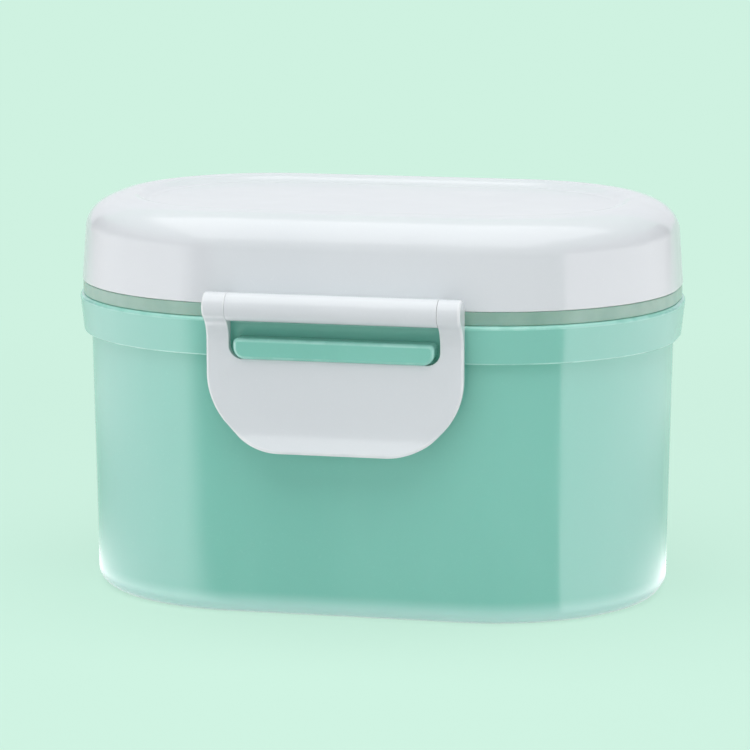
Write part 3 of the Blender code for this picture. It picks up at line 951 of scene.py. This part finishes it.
def handleLoop(size, inset, root):
    # straight root and sides with a round tip, all moved in by an inset
    half = size["handleHalf"] - inset
    center = size["tip"] - size["handleHalf"]
    side = np.linspace(root, center, 31)[:-1]
    tip = arcOf((center, 0.0), (half, half), -90, 90, 28)
    back = np.linspace(half, -half, 9)[1:-1]
    lower = np.stack([side, np.full(len(side), -half)], 1)
    upper = np.stack([side[::-1], np.full(len(side), half)], 1)
    return np.concatenate([lower, tip, upper, np.stack([np.full(len(back), root), back], 1)])


def scoopHandle(size):
    # loops from the underside up the edge, over the border and down into the thumb groove
    low, top = size["top"] - size["thick"], size["top"]
    turn = np.radians(np.linspace(0, 90, 6))
    edge, border, soft = size["handleEdge"], size["border"], size["soft"]
    grooveZ = top - size["groove"]
    step = size["bowlX"] + size["radius"] + border - size["root"]
    under = list(zip(edge * (1 - np.sin(turn)), low + edge * (1 - np.cos(turn))))
    over = list(zip(edge * (1 - np.cos(turn)), top - edge * (1 - np.sin(turn))))
    ledge = [(border - soft, top), (border, top - soft * 0.3), (border + soft * 0.7, top - soft)]
    floor = [(border + soft, grooveZ + 0.15), (border + soft * 1.5, grooveZ)]
    rows = []
    for inset, height in under + over + ledge + floor:
        share = np.clip((inset - edge) / (border - edge), 0, 1)
        root = size["root"] + step * share + 0.5 * max(0, inset - border)
        loop = handleLoop(size, inset, root)
        rows.append(np.column_stack([loop, np.full(len(loop), height)]))
    return gridShell(np.stack(rows))


makePiece("scoopBowl", [scoopBowl(scoopSize)], white, "scoop", ("scoop",))
makePiece("scoopHandle", [scoopHandle(scoopSize)], white, "scoop")
print("leveller and scoop")

for pinName in ("latch_pin", "hinge_pin"):
    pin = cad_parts[pinName]
    pin.data.materials.clear()
    pin.data.materials.append(steel)
print("pins: drawn steel on the packed rods")

# studio: pale floor that runs into the same pale world, whose fill is brightest low down
stageLook = {
    "backdrop": (0.623, 0.887, 0.752, 1.0),
    "floorSeen": (0.66, 0.93, 0.79, 1.0),
    "floorTone": (0.60, 0.60, 0.60, 1.0),
    "half": 6.0,
    "shadowShare": 0.30,
    "shadowReach": (0.12, 0.42),
    "nearReach": (0.049, 0.064),
    "nearTone": (0.96, 1.0, 0.99, 1.0),
    "stripReach": (0.040, 0.048),
    "stripTone": (3.2, 3.2, 3.2, 1.0),
    "leftStrip": {"edge": (-28.0, -44.0), "fade": (-69.0, -143.0)},
    "rightStrip": {"edge": (53.5, 55.5), "fade": (88.0, 170.0)},
    "nearTurn": 0.22,
    "nearTurnReach": (0.07, 0.28),
    "underGlow": 0.28,
    "fillLow": (0.96, 0.98, 1.0, 1.0),
    "fillHigh": (0.14, 0.15, 0.16, 1.0),
    "fillReach": (0.22, 0.62),
    "fillStrength": 0.97,
}


def lightPath(tree):
    # the kinds of ray that should meet the plain background
    path = tree.nodes.new("ShaderNodeLightPath")
    names = ("Is Camera Ray", "Is Glossy Ray", "Is Transmission Ray")
    return [Wire(tree, path.outputs[name]) for name in names]


def stripShare(turn, fadeTurn, strip):
    # none before the strip's edge, all of it after, and none again at the back, by degrees round the box
    (edgeLow, edgeHigh), (fadeLow, fadeHigh) = strip["edge"], strip["fade"]
    side = math.copysign(1.0, edgeHigh)
    rise = (side * turn).ramp(side * edgeLow, side * edgeHigh)
    return rise * (1 - (side * fadeTurn).ramp(side * fadeLow, side * fadeHigh))


def floorMaterial(look):
    # the camera sees the backdrop's tone with part of the cast shadow near the box; gloss sees the same tone,
    # paler next to the box and with a bright strip on each side; other light meets a faintly lit matt table
    made, tree, shader, place = newMaterial("studioFloor")
    tree.nodes.remove(shader)
    camera, glossy, through = lightPath(tree)
    far = place.add("ShaderNodeVectorMath", {"operation": "LENGTH"}, {0: place}, 1)
    keep = 1 - look["shadowShare"] * (1 - far.ramp(*look["shadowReach"]))
    matt = place.add("ShaderNodeBsdfDiffuse", {}, {"Color": look["floorTone"]})
    mattSeen = place.add("ShaderNodeBsdfDiffuse", {}, {"Color": look["floorSeen"]})
    glow = place.add("ShaderNodeEmission", {}, {"Color": look["backdrop"], "Strength": 1.0})
    faint = {"Color": look["floorTone"], "Strength": look["underGlow"]}
    under = place.add("ShaderNodeEmission", {}, faint)
    out = planReach(place)
    turn = place.calc("ARCTAN2", place.part(0), -1.0 * place.part(1)) * math.degrees(1.0)
    # close to the box a strip fades sooner, so that one column of the wall shows it alike at all heights
    fadeTurn = turn * (1 + look["nearTurn"] * (1 - out.ramp(*look["nearTurnReach"])))
    left, right = (stripShare(turn, fadeTurn, look[name]) for name in ("leftStrip", "rightStrip"))
    strips = left + right
    tone = (1 - out.ramp(*look["nearReach"])).blend(look["backdrop"], look["nearTone"])
    tone = (strips * out.ramp(*look["stripReach"])).blend(tone, look["stripTone"])
    table = place.add("ShaderNodeEmission", {}, {"Color": tone, "Strength": 1.0})
    seen = place.add("ShaderNodeMixShader", {}, {0: keep, 1: mattSeen, 2: glow})
    plain = place.add("ShaderNodeAddShader", {}, {0: matt, 1: under})
    other = place.add("ShaderNodeMixShader", {}, {0: glossy + through, 1: plain, 2: table})
    mixed = place.add("ShaderNodeMixShader", {}, {0: camera, 1: other, 2: seen})
    tree.links.new(mixed.socket, tree.nodes["Material Output"].inputs["Surface"])
    return made


def flatSheet(name, wide, tall, finish):
    # one rectangle about its own middle
    corners = np.array([(-1, -1, 0), (1, -1, 0), (1, 1, 0), (-1, 1, 0)]) * (wide / 2, tall / 2, 0)
    mesh = bpy.data.meshes.new(name)
    mesh.from_pydata(corners.tolist(), [], [(0, 1, 2, 3)])
    mesh.materials.append(finish)
    return bpy.data.objects.new(name, mesh)


def makeStage(look):
    floor = flatSheet("studioFloor", 2 * look["half"], 2 * look["half"], floorMaterial(look))
    bpy.context.scene.collection.objects.link(floor)
    world = bpy.data.worlds.new("studioWorld")
    world.use_nodes = True
    tree = world.node_tree
    camera, glossy, through = lightPath(tree)
    shown = camera.add("ShaderNodeBackground", {}, {"Color": look["backdrop"], "Strength": 1.0})
    way = camera.add("ShaderNodeTexCoord", {}, {}, "Generated")
    height = way.part(2)
    sky = height.ramp(*look["fillReach"]).blend(look["fillLow"], look["fillHigh"])
    fill = camera.add("ShaderNodeBackground", {}, {"Color": sky, "Strength": look["fillStrength"]})
    mixed = camera.add("ShaderNodeMixShader", {}, {0: camera + glossy + through, 1: fill, 2: shown})
    tree.links.new(mixed.socket, tree.nodes["World Output"].inputs["Surface"])
    bpy.context.scene.world = world


makeStage(stageLook)

# soft box above: degrees round the box from the front, distance, height of the middle, size in metres, tilt
# of the face from looking down, and brightness, where 1 is white
topBoxLook = {
    "turn": 0.0,
    "far": 0.35,
    "middle": 1.05,
    "size": (1.60, 1.70),
    "tilt": 0.0,
    "glow": 1.67,
}
# cards that gloss alone shows: a low bright strip on each side and white behind; each fade gives the card's
# axis, where it is dim, where it is bright, and what is left of it there
cardLook = {
    "leftCard": {
        "turn": -76.0,
        "far": 0.60,
        "middle": 0.20,
        "size": (1.70, 0.40),
        "tone": (3.2, 3.2, 3.2, 1),
        "fades": ((0, -0.83, 0.06, 0.22), (0, 0.67, 0.37, 0.0), (1, 0.0, -0.16, 0.26)),
    },
    "rightCard": {
        "turn": 103.6,
        "far": 0.60,
        "middle": 0.20,
        "size": (1.36, 0.40),
        "tone": (3.4, 3.4, 3.4, 1),
        "fades": ((0, 0.72, -0.10, 0.22), (1, 0.0, -0.16, 0.26)),
    },
    "whiteCard": {
        "turn": 192.0,
        "far": 1.20,
        "middle": 0.50,
        "size": (1.80, 0.70),
        "tone": (0.84, 0.87, 0.90, 1),
    },
}


def stand(thing, look):
    # at its distance round the box, its face down until it is tilted up towards the box
    turn = math.radians(look["turn"])
    thing.location = (math.sin(turn) * look["far"], -math.cos(turn) * look["far"], look["middle"])
    thing.rotation_euler = (math.radians(look.get("tilt", 90.0)), 0.0, turn)
    bpy.context.scene.collection.objects.link(thing)


def softBox(name, look):
    # power is brightness times area times pi
    light = bpy.data.lights.new(name, "AREA")
    light.shape = "RECTANGLE"
    light.size, light.size_y = look["size"]
    light.energy = look["glow"] * math.pi * light.size * light.size_y
    lamp = bpy.data.objects.new(name, light)
    stand(lamp, look)


def glossCard(name, look):
    # an upright lit plane that shows in gloss alone
    made, tree, shader, place = newMaterial(name)
    tree.nodes.remove(shader)
    tone = look["tone"]
    for axis, dim, bright, left in look.get("fades", ()):
        along = place.part(axis)
        tone = (left + (1 - left) * along.ramp(dim, bright)).blend((0, 0, 0, 1), tone)
    lit = place.add("ShaderNodeEmission", {}, {"Color": tone, "Strength": 1.0})
    tree.links.new(lit.socket, tree.nodes["Material Output"].inputs["Surface"])
    card = flatSheet(name, *look["size"], made)
    stand(card, look)
    card.visible_camera = False
    card.visible_diffuse = False
    card.visible_shadow = False
    card.visible_transmission = False


softBox("topBox", topBoxLook)
for cardName, cardSettings in cardLook.items():
    glossCard(cardName, cardSettings)

# camera fitted to the photograph's contours
cameraLook = {
    "place": (0.192655, -0.876398, 0.20802),
    "turn": 12.5,
    "dip": 9.986,
    "lens": 182.1,
    "sensor": 36.0,
    "clip": (0.01, 50.0),
}
cameraData = bpy.data.cameras.new("studioCamera")
cameraData.lens = cameraLook["lens"]
cameraData.sensor_width = cameraLook["sensor"]
cameraData.clip_start, cameraData.clip_end = cameraLook["clip"]
camera = bpy.data.objects.new("studioCamera", cameraData)
camera.location = cameraLook["place"]
cameraTurn = (90 - cameraLook["dip"], 0.0, cameraLook["turn"])
camera.rotation_euler = [math.radians(angle) for angle in cameraTurn]
bpy.context.scene.collection.objects.link(camera)
bpy.context.scene.camera = camera
bpy.context.scene.view_settings.view_transform = "Standard"
print("studio: floor, world, soft box, cards and camera")

bpy.context.view_layer.update()
